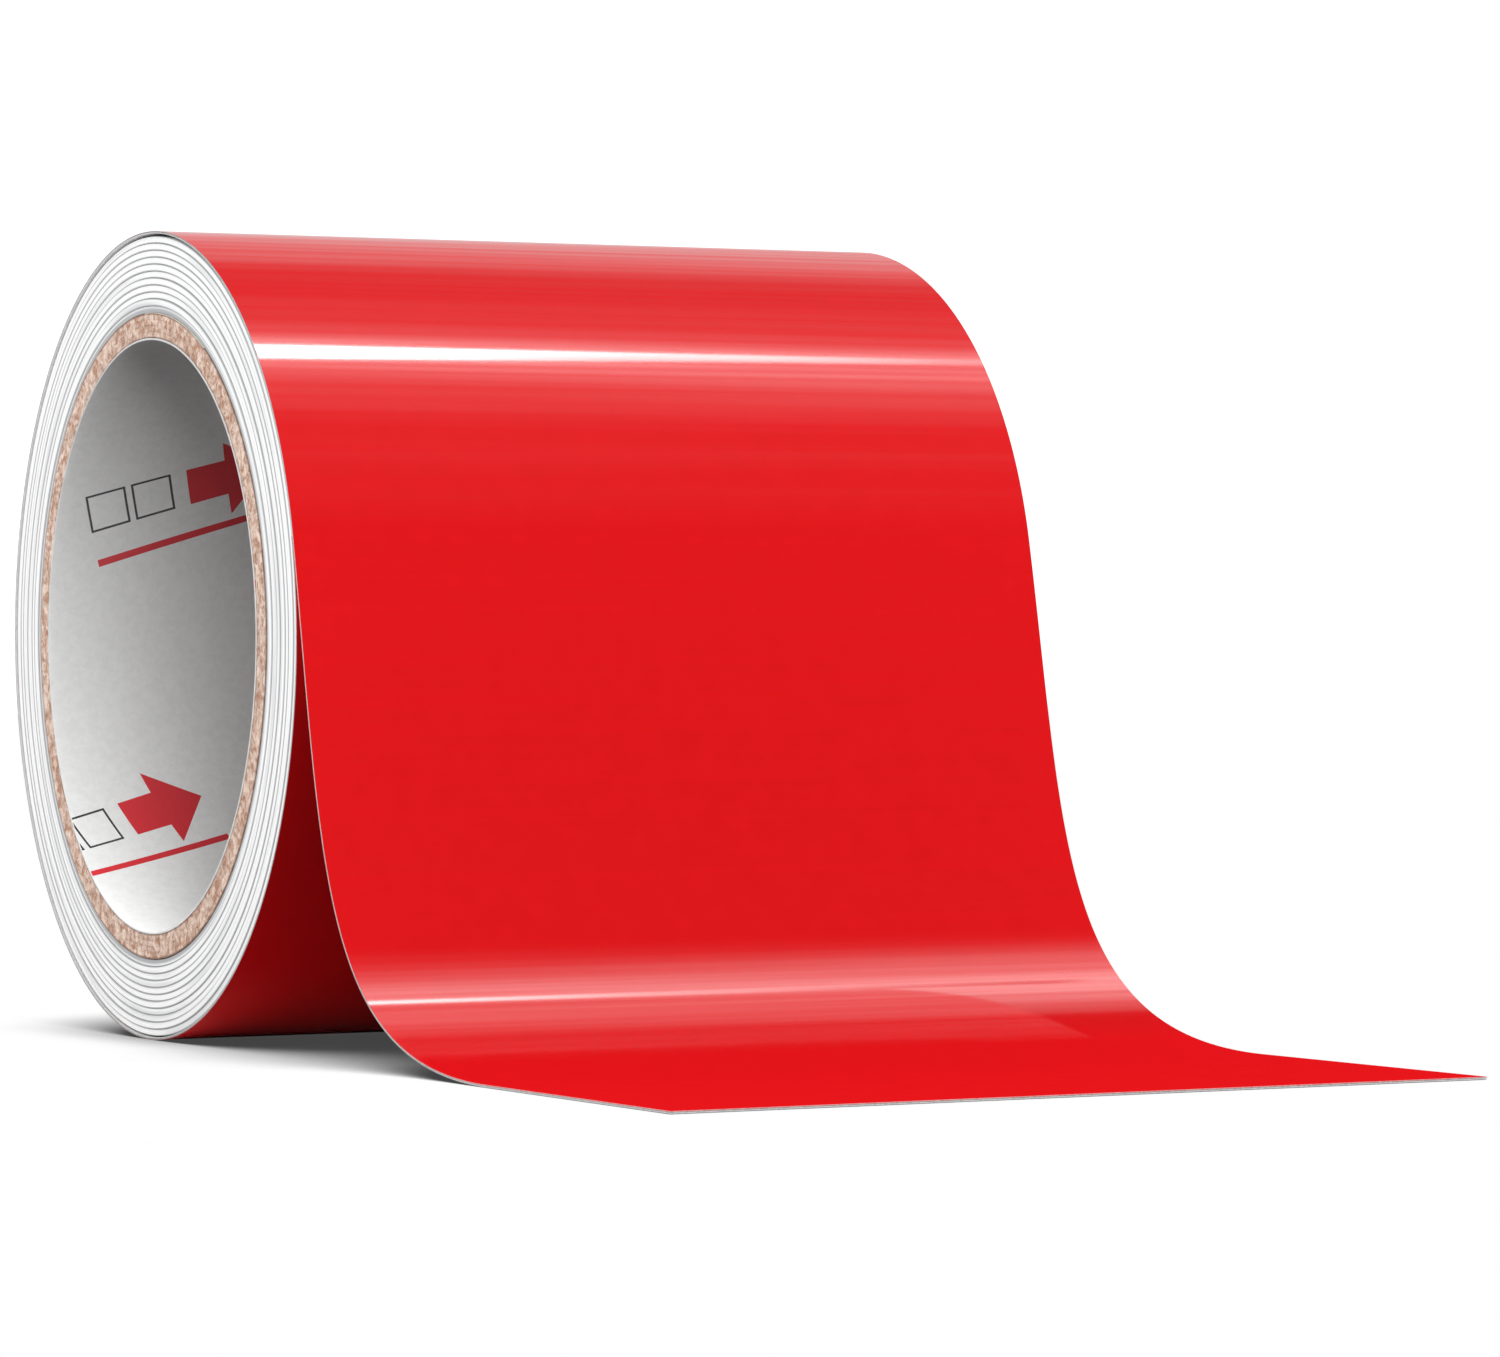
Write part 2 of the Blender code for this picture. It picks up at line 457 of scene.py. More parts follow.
# Where a point lies on the roll: along its axis, out from it and round it.
roll_place, _, roll_place_out = new_group(
    "roll_place", [], [("Along", "value"), ("Radius", "value"), ("Angle", "value"), ("Turn", "vector")]
)
roll_coordinates = add_node(roll_place, "ShaderNodeTexCoord")
roll_offset = add_node(
    roll_place,
    "ShaderNodeVectorMath",
    {0: roll_coordinates.outputs["Object"], 1: (0.0, AXIS_Y, AXIS_HEIGHT)},
    operation="SUBTRACT",
)
roll_split = add_node(roll_place, "ShaderNodeSeparateXYZ", {0: roll_offset.outputs["Vector"]})
roll_radius = maths(
    roll_place,
    "SQRT",
    maths(
        roll_place,
        "ADD",
        maths(roll_place, "POWER", maths(roll_place, "ABSOLUTE", roll_split.outputs["Y"]), 2.0),
        maths(roll_place, "POWER", maths(roll_place, "ABSOLUTE", roll_split.outputs["Z"]), 2.0),
    ),
)
roll_turn = add_node(
    roll_place,
    "ShaderNodeCombineXYZ",
    {
        "X": roll_radius,
        "Y": maths(roll_place, "DIVIDE", roll_split.outputs["Y"], roll_radius),
        "Z": maths(roll_place, "DIVIDE", roll_split.outputs["Z"], roll_radius),
    },
)
roll_place.links.new(roll_split.outputs["X"], roll_place_out.inputs["Along"])
roll_place.links.new(roll_radius, roll_place_out.inputs["Radius"])
roll_place.links.new(
    maths(roll_place, "ARCTAN2", roll_split.outputs["Z"], roll_split.outputs["Y"]),
    roll_place_out.inputs["Angle"],
)
roll_place.links.new(roll_turn.outputs["Vector"], roll_place_out.inputs["Turn"])

# Fibre of paper and board: soft blotches with short pale strands lying in them.
paper_fibre, fibre_in, fibre_out = new_group(
    "paper_fibre",
    [
        ("Dark", "colour", (0.3, 0.2, 0.1, 1.0)),
        ("Light", "colour", (0.6, 0.4, 0.3, 1.0)),
        ("Strand", "colour", (0.8, 0.7, 0.6, 1.0)),
        ("Blotches", "value", 1500.0),
        ("Strands", "value", 0.5),
    ],
    [("Colour", "colour"), ("Height", "value")],
)
fibre_place = add_node(paper_fibre, "ShaderNodeTexCoord")
fibre_blotch = add_node(
    paper_fibre,
    "ShaderNodeTexNoise",
    {
        "Vector": fibre_place.outputs["Object"],
        "Scale": fibre_in.outputs["Blotches"],
        "Detail": 5.0,
        "Roughness": 0.62,
        "Distortion": 0.6,
    },
)
fibre_strand = add_node(
    paper_fibre,
    "ShaderNodeTexNoise",
    {
        "Vector": fibre_place.outputs["Object"],
        "Scale": maths(paper_fibre, "MULTIPLY", fibre_in.outputs["Blotches"], 1.7),
        "Detail": 2.0,
        "Distortion": 2.4,
    },
)
fibre_tone = add_node(
    paper_fibre,
    "ShaderNodeMapRange",
    {"Value": fibre_blotch.outputs["Fac"], "From Min": 0.38, "From Max": 0.60},
)
fibre_line = add_node(
    paper_fibre,
    "ShaderNodeMapRange",
    {
        "Value": maths(
            paper_fibre,
            "ABSOLUTE",
            maths(paper_fibre, "SUBTRACT", fibre_strand.outputs["Fac"], 0.5),
        ),
        "From Min": 0.035,
        "From Max": 0.0,
    },
)
fibre_share = maths(
    paper_fibre, "MULTIPLY", fibre_line.outputs["Result"], fibre_in.outputs["Strands"]
)
fibre_base = blended(
    paper_fibre, fibre_tone.outputs["Result"], fibre_in.outputs["Dark"], fibre_in.outputs["Light"]
)
paper_fibre.links.new(
    blended(paper_fibre, fibre_share, fibre_base, fibre_in.outputs["Strand"]),
    fibre_out.inputs["Colour"],
)
paper_fibre.links.new(
    maths(paper_fibre, "ADD", fibre_tone.outputs["Result"], fibre_share),
    fibre_out.inputs["Height"],
)

# The printed mark: two outlined boxes and an arrow over a rule. It repeats along each
# row and from row to row, and slopes as the helix of the wound strip does.
MARK_ROWS = 5
MARK_PITCH = 0.050
MARK_START = -0.0488
MARK_RISE = math.radians(18)
ROW_SPLIT = 0.45
ROW_CENTRE = 0.345
lining_paper, lining_tree, lining_shader = finish_named("lining_paper", 0.62)
lining_spot = placed(lining_tree, roll_place)
lining_fibre = placed(
    lining_tree,
    paper_fibre,
    Dark=(0.74, 0.74, 0.735, 1.0),
    Light=(0.79, 0.79, 0.785, 1.0),
    Strand=(0.81, 0.81, 0.80, 1.0),
    Blotches=900.0,
    Strands=0.3,
)
row_height = 2 * math.pi * BORE_RADIUS / MARK_ROWS
mark_rows = maths(
    lining_tree, "MULTIPLY", lining_spot.outputs["Angle"], MARK_ROWS / (2 * math.pi)
)
mark_row = maths(lining_tree, "ROUND", maths(lining_tree, "SUBTRACT", mark_rows, ROW_SPLIT))
mark_up = maths(
    lining_tree,
    "MULTIPLY",
    maths(
        lining_tree, "SUBTRACT", maths(lining_tree, "SUBTRACT", mark_rows, ROW_CENTRE), mark_row
    ),
    row_height,
)
mark_along = maths(
    lining_tree,
    "FLOORED_MODULO",
    maths(
        lining_tree,
        "SUBTRACT",
        maths(lining_tree, "SUBTRACT", lining_spot.outputs["Along"], MARK_START),
        maths(lining_tree, "MULTIPLY", mark_row, MARK_PITCH / MARK_ROWS),
    ),
    MARK_PITCH,
)
mark_p = maths(
    lining_tree,
    "ADD",
    maths(lining_tree, "MULTIPLY", mark_along, math.cos(MARK_RISE)),
    maths(lining_tree, "MULTIPLY", mark_up, math.sin(MARK_RISE)),
)
mark_q = maths(
    lining_tree,
    "SUBTRACT",
    maths(lining_tree, "MULTIPLY", mark_up, math.cos(MARK_RISE)),
    maths(lining_tree, "MULTIPLY", mark_along, math.sin(MARK_RISE)),
)


def inside(tree, value, low, high):
    """1 where the value lies between low and high, and 0 elsewhere."""
    return maths(
        tree,
        "MULTIPLY",
        maths(tree, "GREATER_THAN", value, low),
        maths(tree, "LESS_THAN", value, high),
    )


def box_mask(tree, across, up, left, right, low, high):
    """1 inside a rectangle of the printed mark, and 0 outside it."""
    return maths(
        tree, "MULTIPLY", inside(tree, across, left, right), inside(tree, up, low, high)
    )


BOX_SIDE = 0.0056
BOX_LINE = 0.00032
BOX_PITCH = 0.0064
MARK_LEFT = 0.0025
PRINT_MARGIN = 0.0001  # the paper's own cut edge stays bare
lining_bare = maths(
    lining_tree,
    "LESS_THAN",
    maths(lining_tree, "ABSOLUTE", lining_spot.outputs["Along"]),
    WEB_WIDTH / 2 - PRINT_MARGIN,
)
mark_frames = None
for left in (MARK_LEFT, MARK_LEFT + BOX_PITCH):
    frame_outer = box_mask(
        lining_tree, mark_p, mark_q, left, left + BOX_SIDE, -BOX_SIDE / 2, BOX_SIDE / 2
    )
    frame_inner = box_mask(
        lining_tree,
        mark_p,
        mark_q,
        left + BOX_LINE,
        left + BOX_SIDE - BOX_LINE,
        BOX_LINE - BOX_SIDE / 2,
        BOX_SIDE / 2 - BOX_LINE,
    )
    frame_line = maths(lining_tree, "SUBTRACT", frame_outer, frame_inner)
    mark_frames = (
        frame_line if mark_frames is None else maths(lining_tree, "MAXIMUM", mark_frames, frame_line)
    )
ARROW_TAIL = MARK_LEFT + 0.0142
ARROW_NECK = MARK_LEFT + 0.0196
ARROW_TIP = MARK_LEFT + 0.0262
SHAFT_HALF = 0.0028
HEAD_HALF = 0.0060
RULE_LOW = -0.0078
RULE_HIGH = -0.0068
MARK_RED = (0.62, 0.025, 0.035, 1.0)
MARK_BLACK = (0.035, 0.035, 0.038, 1.0)
arrow_shaft = box_mask(
    lining_tree, mark_p, mark_q, ARROW_TAIL, ARROW_NECK, -SHAFT_HALF, SHAFT_HALF
)
arrow_slope = maths(
    lining_tree,
    "MULTIPLY",
    maths(lining_tree, "SUBTRACT", ARROW_TIP, mark_p),
    HEAD_HALF / (ARROW_TIP - ARROW_NECK),
)
arrow_head = maths(
    lining_tree,
    "MULTIPLY",
    maths(lining_tree, "GREATER_THAN", mark_p, ARROW_NECK),
    maths(lining_tree, "GREATER_THAN", arrow_slope, maths(lining_tree, "ABSOLUTE", mark_q)),
)
mark_rule = box_mask(
    lining_tree, mark_p, mark_q, MARK_LEFT, ARROW_TIP, RULE_LOW, RULE_HIGH
)
mark_red = maths(
    lining_tree, "MAXIMUM", maths(lining_tree, "MAXIMUM", arrow_shaft, arrow_head), mark_rule
)
lining_printed = blended(
    lining_tree,
    maths(lining_tree, "MULTIPLY", mark_red, lining_bare),
    lining_fibre.outputs["Colour"],
    MARK_RED,
)
lining_colour = blended(
    lining_tree,
    maths(lining_tree, "MULTIPLY", mark_frames, lining_bare),
    lining_printed,
    MARK_BLACK,
)
lining_tree.links.new(lining_colour, lining_shader.inputs["Base Color"])
lining_bump = add_node(
    lining_tree,
    "ShaderNodeBump",
    {"Height": lining_fibre.outputs["Height"], "Strength": 0.15, "Distance": 0.0001},
)
lining_tree.links.new(lining_bump.outputs["Normal"], lining_shader.inputs["Normal"])

lining = turned(
    "core_lining_paper",
    tube_section(BORE_RADIUS, BORE_RADIUS + LINING_THICKNESS, WEB_WIDTH / 2, 0.00006, 2),
)
lining.data.materials.append(lining_paper)
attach(lining, "roll")
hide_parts("core_lining")
lit_bore.objects.link(lining)

# A black flag across the left end keeps the tent's light out of the bore, and a small
# lamp in that end lights the lining, most of all low down and near the edge.
FLAG_RADIUS = 0.0378
FLAG_GAP = 0.0006
FLAG_STEPS = 96
LAMP_PLACE = (-0.052, 0.039, 0.0422)
LAMP_FACING = (-0.78, 0.58, -0.21)


def hang_flag(name, outline, cloth):
    """A flat flag just off the roll's left end, felt by the scattered light alone.

    outline is its (y, z) points."""
    mesh = bpy.data.meshes.new(name)
    points = [(-WEB_WIDTH / 2 - FLAG_GAP, y, z) for y, z in outline]
    mesh.from_pydata(points, [], [tuple(range(len(points)))])
    mesh.materials.append(cloth)
    flag = bpy.data.objects.new(name, mesh)
    flag.visible_camera = False
    flag.visible_glossy = False
    flag.visible_transmission = False
    flag.visible_shadow = False
    scene.collection.objects.link(flag)


flag_cloth, _, flag_shader = finish_named("black_cloth", 1.0)
flag_shader.inputs["Base Color"].default_value = (0.0, 0.0, 0.0, 1.0)
flag_shader.inputs["Specular IOR Level"].default_value = 0.0
flag_angles = [2 * math.pi * i / FLAG_STEPS for i in range(FLAG_STEPS)]
hang_flag(
    "bore_flag",
    [
        (AXIS_Y + FLAG_RADIUS * math.cos(angle), AXIS_HEIGHT + FLAG_RADIUS * math.sin(angle))
        for angle in flag_angles
    ],
    flag_cloth,
)
lamp_data = bpy.data.lights.new("bore_lamp", "AREA")
lamp_data.size = 0.006
lamp_data.energy = 0.036
lamp_data.cycles.max_bounces = 0
bore_lamp = bpy.data.objects.new("bore_lamp", lamp_data)
lamp_turn = Vector(LAMP_FACING).to_track_quat("-Z", "Y").to_matrix().to_4x4()
bore_lamp.matrix_world = Matrix.Translation(LAMP_PLACE) @ lamp_turn
bore_lamp.visible_camera = False
bore_lamp.light_linking.receiver_collection = lit_bore
scene.collection.objects.link(bore_lamp)

# Core board. Four plies of brown kraft board wound on a mandrel and glued face to
# face, then cut to length, which leaves fibrous ends with a slightly ragged inner edge.
PLY_COUNT = 4
PLY_THICKNESS = 0.00074
GLUE_LINE = 0.00005
BOARD_STEPS = 600
BOARD_RAGGED = 0.00009
RAGGED_DEPTH = 0.0004
PLY_SPREAD = 0.4 * GLUE_LINE  # how far a ply's faces swell into the glue
# Painted shade colour for the gaps at the board's inner and outer edges.
EDGE_GAP_SHADE = (0.24, 0.135, 0.095, 1.0)
board_kraft, board_tree, board_shader = finish_named("core_board", 0.9)
board_shader.inputs["Specular IOR Level"].default_value = 0.2
board_fibre = placed(
    board_tree,
    paper_fibre,
    Dark=(0.48, 0.235, 0.140, 1.0),
    Light=(0.94, 0.735, 0.620, 1.0),
    Strand=(0.96, 0.84, 0.78, 1.0),
    Blotches=900.0,
    Strands=0.6,
)
board_inner = BORE_RADIUS + LINING_THICKNESS
board_half = PLY_COUNT * (PLY_THICKNESS + GLUE_LINE) / 2
# Painted shade: the board turns dark brown towards its inner and outer edges, in the gaps where it
# meets the lining and the wound web.
board_gap_shade = add_node(
    board_tree,
    "ShaderNodeMapRange",
    {
        "Value": maths(
            board_tree,
            "ABSOLUTE",
            maths(
                board_tree,
                "SUBTRACT",
                placed(board_tree, roll_place).outputs["Radius"],
                board_inner + board_half,
            ),
        ),
        "From Min": board_half - 0.00028,
        "From Max": board_half - 0.00006,
        "To Max": 0.75,
    },
)
board_tree.links.new(
    blended(
        board_tree,
        board_gap_shade.outputs["Result"],
        board_fibre.outputs["Colour"],
        EDGE_GAP_SHADE,
    ),
    board_shader.inputs["Base Color"],
)
board_bump = add_node(
    board_tree,
    "ShaderNodeBump",
    {"Height": board_fibre.outputs["Height"], "Strength": 0.7, "Distance": 0.00025},
)
board_tree.links.new(board_bump.outputs["Normal"], board_shader.inputs["Normal"])


def ragged(angle, x, radius):
    """The end of the board a little out of flat, as a saw leaves it."""
    spot = Vector((40 * math.cos(angle), 40 * math.sin(angle), radius * 9000))
    pull = BOARD_RAGGED * noise.noise(spot) * (1 if x > 0 else -1)
    end = abs(x) > WEB_WIDTH / 2 - RAGGED_DEPTH
    return (x + pull if end else x), (radius + 0.5 * abs(pull) if end else radius)


ply_inner = board_inner + GLUE_LINE
for ply in range(1, PLY_COUNT + 1):
    board = turned(
        f"core_board_ply_{ply}",
        tube_section(
            ply_inner - PLY_SPREAD,
            ply_inner + PLY_THICKNESS + PLY_SPREAD,
            WEB_WIDTH / 2 - BOARD_RAGGED,
            0.00005,
            2,
        ),
        BOARD_STEPS,
        shift=ragged,
    )
    board.data.materials.append(board_kraft)
    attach(board, "roll")
    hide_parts(f"core_ply_{ply}")
    ply_inner += PLY_THICKNESS + GLUE_LINE
CORE_RADIUS = ply_inner - GLUE_LINE

# Starter tape. A short clear tape that holds the first turn of the web to the core
# across its whole width. It is stuck on before the winding starts, so only its edge shows.
TAPE_THICKNESS = 0.00008
TAPE_CLEARANCE = 0.00002
TAPE_START = math.radians(90)
TAPE_SWEEP = math.radians(30)


def fibre_finish(name, roughness, **values):
    """A material whose colour is the paper fibre's alone, with the group's values given."""
    made, tree, shader = finish_named(name, roughness)
    fibre = placed(tree, paper_fibre, **values)
    tree.links.new(fibre.outputs["Colour"], shader.inputs["Base Color"])
    return made


tape_film = fibre_finish(
    "starter_tape",
    0.35,
    Dark=(0.70, 0.67, 0.58, 1.0),
    Light=(0.80, 0.78, 0.70, 1.0),
    Strand=(0.86, 0.85, 0.80, 1.0),
    Blotches=700.0,
    Strands=0.2,
)
tape_inner = CORE_RADIUS + TAPE_CLEARANCE
tape = turned(
    "starter_tape_strip",
    tube_section(tape_inner, tape_inner + TAPE_THICKNESS, WEB_WIDTH / 2, 0.00002, 1),
    40,
    TAPE_START,
    TAPE_SWEEP,
)
tape.data.materials.append(tape_film)
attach(tape, "roll")
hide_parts("starter_tape")

# Wound web. Some thirty turns of vinyl on its liner, wound tight in eleven bands. The
# slit edges of the white liner hide the thin film between them, and each band's edge
# stands a hair proud of the next or behind it.
BAND_COUNT = 11
BAND_THICKNESS = 0.00085
BAND_GAP = 0.00004
BAND_CORNER = 0.00015
BAND_SPREAD = 0.3 * BAND_GAP  # how far a band's faces swell into the gap
BAND_INSET = 0.0001
BAND_PROUD = 0.00007
BAND_WANDER = 0.00003
BAND_STEPS = 320
FIRST_BAND_RADIUS = tape_inner + TAPE_THICKNESS + TAPE_CLEARANCE
slit_edge, slit_tree, slit_shader = finish_named("slit_edges", 0.55)
slit_spot = placed(slit_tree, roll_place)
slit_out = maths(slit_tree, "SUBTRACT", slit_spot.outputs["Radius"], FIRST_BAND_RADIUS)
slit_turns = maths(slit_tree, "DIVIDE", slit_out, BAND_THICKNESS + BAND_GAP)
# Painted shade: grey lines in the gaps between the bands.
slit_line = maths(slit_tree, "PINGPONG", slit_turns, 0.5)
slit_gap_shade = add_node(
    slit_tree, "ShaderNodeMapRange", {"Value": slit_line, "From Min": 0.10, "From Max": 0.20}
)
# Painted shade: fainter grey lines in the gaps between the turns of each band.
slit_turn_shade = add_node(
    slit_tree,
    "ShaderNodeMapRange",
    {
        "Value": maths(slit_tree, "PINGPONG", maths(slit_tree, "MULTIPLY", slit_turns, 3.0), 0.5),
        "From Min": 0.0,
        "From Max": 0.12,
        "To Min": 0.5,
        "To Max": 1.0,
    },
)
# Painted shade: the first band, next to the core, goes grey.
slit_core_shade = add_node(
    slit_tree, "ShaderNodeMapRange", {"Value": slit_out, "From Min": 0.0004, "From Max": 0.0007}
)
# Painted shade: broad soft grey patches across the radius and round the face, from noise.
slit_shade_patches = add_node(
    slit_tree,
    "ShaderNodeTexNoise",
    {
        "Vector": add_node(
            slit_tree,
            "ShaderNodeVectorMath",
            {0: slit_spot.outputs["Turn"], 1: (900.0, 1.6, 1.6)},
            operation="MULTIPLY",
        ).outputs["Vector"],
        "Scale": 1.0,
        "Detail": 3.0,
    },
)
slit_patch_shade = add_node(
    slit_tree,
    "ShaderNodeMapRange",
    {"Value": slit_shade_patches.outputs["Fac"], "From Min": 0.25, "From Max": 0.50},
)
# The grey tones here are painted shade: 0.66 for the patches and the gaps between turns, 0.50 for the
# gaps between bands, 0.42 for the first band.
slit_white = blended(
    slit_tree,
    maths(slit_tree, "MULTIPLY", slit_patch_shade.outputs["Result"], slit_turn_shade.outputs["Result"]),
    (0.66, 0.67, 0.68, 1.0),
    (0.93, 0.93, 0.93, 1.0),
)
slit_wound = blended(slit_tree, slit_gap_shade.outputs["Result"], (0.50, 0.505, 0.515, 1.0), slit_white)
slit_tree.links.new(
    blended(slit_tree, slit_core_shade.outputs["Result"], (0.42, 0.43, 0.445, 1.0), slit_wound),
    slit_shader.inputs["Base Color"],
)

band_inner = FIRST_BAND_RADIUS
for band in range(1, BAND_COUNT + 1):
    proud = BAND_PROUD * math.sin(2.4 * band)

    def telescoped(angle, x, radius, proud=proud, band=band):
        """The band's edges set sideways a little, as the winder let them wander."""
        wander = proud + BAND_WANDER * math.sin(angle + 1.9 * band)
        return (x + wander if abs(x) > WEB_WIDTH / 4 else x), radius

    wound = turned(
        f"wound_band_{band:02d}",
        tube_section(
            band_inner - BAND_SPREAD,
            band_inner + BAND_THICKNESS + BAND_SPREAD,
            WEB_WIDTH / 2 - BAND_INSET,
            BAND_CORNER,
            4,
        ),
        BAND_STEPS,
        shift=telescoped,
    )
    wound.data.materials.append(slit_edge)
    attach(wound, "roll")
    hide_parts(f"wound_web_{band:02d}")
    band_inner += BAND_THICKNESS + BAND_GAP

# Release liner. White silicone-coated paper that carries the vinyl. Its last turn lies
# round the roll, leaves it high at the front, hangs down to the table and runs out flat.
FILM_THICKNESS = 0.0001
ADHESIVE_LINE = 0.00004
LINER_THICKNESS = 0.00016
WEB_THICKNESS = FILM_THICKNESS + ADHESIVE_LINE + LINER_THICKNESS
TURN_GAP = 0.00005
TURN_PITCH = WEB_THICKNESS + TURN_GAP
RUNNING_GAP = 0.0001
BUTT_GAP = 0.0001
WINDING_RADIUS = band_inner - BAND_GAP
ROLL_RADIUS = WINDING_RADIUS + RUNNING_GAP + TURN_PITCH + WEB_THICKNESS
DEPARTURE = math.radians(180 - 13)
DEPARTURE_REACH = 0.039
FOOT_Y = -0.056049
FOOT_REACH = 0.050
CUT_Y = -0.104049


def turned_line(depth, steps=360):
    """The last turn, depth below its outer face, as (y, z) points from its tail."""
    line = []
    tail = DEPARTURE - 2 * math.pi + BUTT_GAP / ROLL_RADIUS
    for i in range(steps + 1):
        angle = tail + (DEPARTURE - tail) * i / steps
        radius = ROLL_RADIUS - TURN_PITCH * (DEPARTURE - angle) / (2 * math.pi) - depth
        line.append((AXIS_Y + radius * math.cos(angle), AXIS_HEIGHT + radius * math.sin(angle)))
    return line


def hanging_line(depth, steps=160):
    """The free span from the roll to the table, depth below its outer face."""
    leave = Vector((
        AXIS_Y + ROLL_RADIUS * math.cos(DEPARTURE),
        AXIS_HEIGHT + ROLL_RADIUS * math.sin(DEPARTURE),
    ))
    foot = Vector((FOOT_Y, WEB_THICKNESS))
    corners = (
        leave,
        leave + DEPARTURE_REACH * Vector((-math.sin(DEPARTURE), math.cos(DEPARTURE))),
        foot + Vector((FOOT_REACH, 0.0)),
        foot,
    )
    line = []
    for i in range(1, steps + 1):
        t = i / steps
        weights = ((1 - t) ** 3, 3 * t * (1 - t) ** 2, 3 * t * t * (1 - t), t**3)
        place = sum((w * c for w, c in zip(weights, corners)), Vector((0.0, 0.0)))
        slopes = (3 * (1 - t) ** 2, 6 * t * (1 - t), 3 * t * t)
        slope = sum(
            (w * (b - a) for w, a, b in zip(slopes, corners, corners[1:])), Vector((0.0, 0.0))
        ).normalized()
        line.append((place.x - depth * slope.y, place.y + depth * slope.x))
    return line


def flat_line(depth, first, last, step=0.0004):
    """The leader on the table between two distances from the roll."""
    count = max(2, round(abs(last - first) / step))
    return [
        (first + (last - first) * i / count, WEB_THICKNESS - depth) for i in range(1, count + 1)
    ]


def laid_sheet(name, outer, inner, finishes, ends=(True, True), first_length=0.0):
    """A thin sheet as wide as the web between two (y, z) lines of equal count.

    finishes are its face, its back and its cut edges. The map runs in metres, along
    the web and across it. ends says which cut ends the sheet has."""
    half = WEB_WIDTH / 2
    count = len(outer)
    points = [(x, y, z) for line in (outer, inner) for x in (-half, half) for y, z in line]
    lengths = [first_length]
    for (y0, z0), (y1, z1) in zip(outer, outer[1:]):
        lengths.append(lengths[-1] + math.hypot(y1 - y0, z1 - z0))
    faces = []
    slots = []
    for i in range(count - 1):
        j = i + 1
        faces.append((i, j, count + j, count + i))
        faces.append((2 * count + i, 3 * count + i, 3 * count + j, 2 * count + j))
        faces.append((i, 2 * count + i, 2 * count + j, j))
        faces.append((count + i, count + j, 3 * count + j, 3 * count + i))
        slots += [0, 1, 2, 2]
    if ends[0]:
        faces.append((0, count, 3 * count, 2 * count))
        slots.append(2)
    if ends[1]:
        last = count - 1
        faces.append((last, 2 * count + last, 3 * count + last, count + last))
        slots.append(2)
    mesh = bpy.data.meshes.new(name)
    mesh.from_pydata(points, [], faces)
    for finish in finishes:
        mesh.materials.append(finish)
    mesh.polygons.foreach_set("material_index", slots)
    run = mesh.uv_layers.new(name="web_run")
    for loop in mesh.loops:
        spot = loop.vertex_index
        run.data[loop.index].uv = (lengths[spot % count], points[spot][0])
    mesh.shade_smooth()
    mesh.set_sharp_from_angle(angle=math.radians(40))
    made = bpy.data.objects.new(name, mesh)
    scene.collection.objects.link(made)
    return made, lengths[-1]


# Marks of winding: faint bands across the web, from tension, in metres along its run.
winding_marks, marks_in, marks_out = new_group(
    "winding_marks",
    [("Bands", "value", 300.0), ("Grain", "value", 900.0)],
    [("Height", "value"), ("Tone", "value")],
)
marks_run = add_node(winding_marks, "ShaderNodeUVMap", uv_map="web_run")
marks_split = add_node(winding_marks, "ShaderNodeSeparateXYZ", {0: marks_run.outputs["UV"]})
marks_across = add_node(
    winding_marks,
    "ShaderNodeCombineXYZ",
    {
        "X": maths(winding_marks, "MULTIPLY", marks_split.outputs["X"], marks_in.outputs["Bands"]),
        "Y": maths(winding_marks, "MULTIPLY", marks_split.outputs["Y"], 6.0),
    },
)
marks_noise = add_node(
    winding_marks,
    "ShaderNodeTexNoise",
    {"Vector": marks_across.outputs["Vector"], "Scale": 1.0, "Detail": 2.0},
)
marks_grain = add_node(
    winding_marks,
    "ShaderNodeTexNoise",
    {
        "Vector": marks_run.outputs["UV"],
        "Scale": marks_in.outputs["Grain"],
        "Detail": 2.0,
    },
)
winding_marks.links.new(marks_noise.outputs["Fac"], marks_out.inputs["Height"])
winding_marks.links.new(marks_grain.outputs["Fac"], marks_out.inputs["Tone"])


def marked_finish(name, roughness, bands, grain, darker, lighter):
    """A material in two close tones of one colour, its tree, its shader and its marks."""
    made, tree, shader = finish_named(name, roughness)
    marks = placed(tree, winding_marks, Bands=bands, Grain=grain)
    tree.links.new(
        blended(tree, marks.outputs["Tone"], darker, lighter), shader.inputs["Base Color"]
    )
    return made, tree, shader, marks


liner_face = marked_finish(
    "liner_face",
    0.3,
    bands=200.0,
    grain=1200.0,
    darker=(0.78, 0.78, 0.76, 1.0),
    lighter=(0.86, 0.86, 0.84, 1.0),
)[0]
liner_back = fibre_finish(
    "liner_back",
    0.7,
    Dark=(0.74, 0.74, 0.73, 1.0),
    Light=(0.82, 0.82, 0.81, 1.0),
    Strand=(0.85, 0.85, 0.84, 1.0),
    Blotches=900.0,
    Strands=0.3,
)
liner_edge = fibre_finish(
    "liner_cut_edge",
    0.8,
    Dark=(0.40, 0.40, 0.40, 1.0),
    Light=(0.55, 0.55, 0.55, 1.0),
    Strand=(0.66, 0.66, 0.65, 1.0),
    Blotches=2500.0,
    Strands=0.4,
)

liner_top = FILM_THICKNESS + ADHESIVE_LINE
liner_lines = [
    turned_line(depth) + hanging_line(depth) + flat_line(depth, FOOT_Y, CUT_Y)
    for depth in (liner_top, WEB_THICKNESS)
]
liner, liner_length = laid_sheet(
    "release_liner_sheet", *liner_lines, (liner_face, liner_back, liner_edge)
)
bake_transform(liner)
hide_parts("liner_outer_turn", "liner_free_span", "liner_leader")

